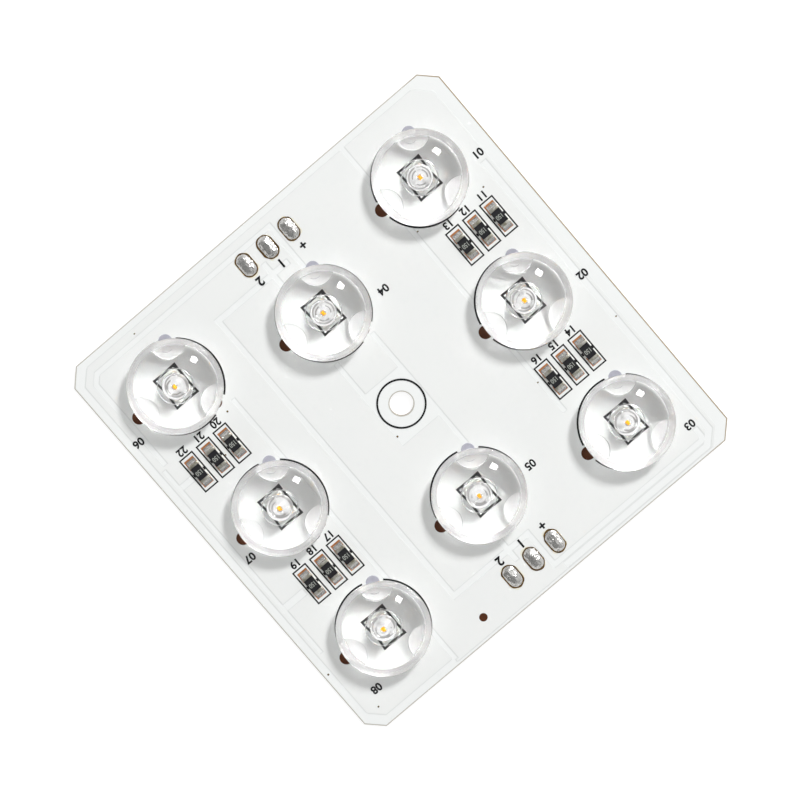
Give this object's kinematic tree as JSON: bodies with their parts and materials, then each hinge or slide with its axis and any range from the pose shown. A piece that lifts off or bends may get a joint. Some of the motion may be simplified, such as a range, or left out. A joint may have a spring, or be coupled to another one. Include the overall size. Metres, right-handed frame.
{
  "type": "led module",
  "caption": "Square LED light board with chamfered corners, a centre hole, round clear lenses over the LEDs, chip resistors and solder terminals.",
  "frame": {"origin": "centre of the board's back face, on the axis of the centre hole", "axes": "+Z out of the component face, X and Y along the board's sides, with the two middle LEDs on the X axis"},
  "size_m": [0.072, 0.072, 0.0061],
  "materials": {
    "laminate": "cut edge of a glass-filled epoxy board",
    "white_mask": "satin white solder mask",
    "bare_copper": "dull oxidised copper",
    "black_ink": "flat printed ink",
    "tinned_metal": "matte tin plate",
    "solder": "bright reflowed solder",
    "clear_acrylic": "polished clear moulding",
    "adhesive": "milky cured adhesive",
    "led_white": "white moulding",
    "phosphor": "orange-yellow phosphor in clear silicone",
    "resistor_glaze": "black glaze"
  },
  "bodies": {
    "root": {"circuit_board": "laminate", "solder_mask": "white_mask", "copper_lands": "bare_copper", "legend_print": "black_ink", "led_contacts": "tinned_metal", "led_solder": "solder", "adhesive_drops": "adhesive", "lens_1": "clear_acrylic", "lens_2": "clear_acrylic", "lens_3": "clear_acrylic", "lens_4": "clear_acrylic", "lens_5": "clear_acrylic", "lens_6": "clear_acrylic", "lens_7": "clear_acrylic", "lens_8": "clear_acrylic", "led_body_1": "led_white", "led_body_2": "led_white", "led_body_3": "led_white", "led_body_4": "led_white", "led_body_5": "led_white", "led_body_6": "led_white", "led_body_7": "led_white", "led_body_8": "led_white", "led_phosphor_1": "phosphor", "led_phosphor_2": "phosphor", "led_phosphor_3": "phosphor", "led_phosphor_4": "phosphor", "led_phosphor_5": "phosphor", "led_phosphor_6": "phosphor", "led_phosphor_7": "phosphor", "led_phosphor_8": "phosphor", "resistor_1": "resistor_glaze", "resistor_2": "resistor_glaze", "resistor_3": "resistor_glaze", "resistor_4": "resistor_glaze", "resistor_5": "resistor_glaze", "resistor_6": "resistor_glaze", "resistor_7": "resistor_glaze", "resistor_8": "resistor_glaze", "resistor_9": "resistor_glaze", "resistor_10": "resistor_glaze", "resistor_11": "resistor_glaze", "resistor_12": "resistor_glaze", "resistor_caps_1": "tinned_metal", "resistor_caps_2": "tinned_metal", "resistor_caps_3": "tinned_metal", "resistor_caps_4": "tinned_metal", "resistor_solder": "solder", "terminal_1": "solder", "terminal_2": "solder", "terminal_3": "solder", "terminal_4": "solder", "terminal_5": "solder", "terminal_6": "solder"}
  },
  "joints": []
}
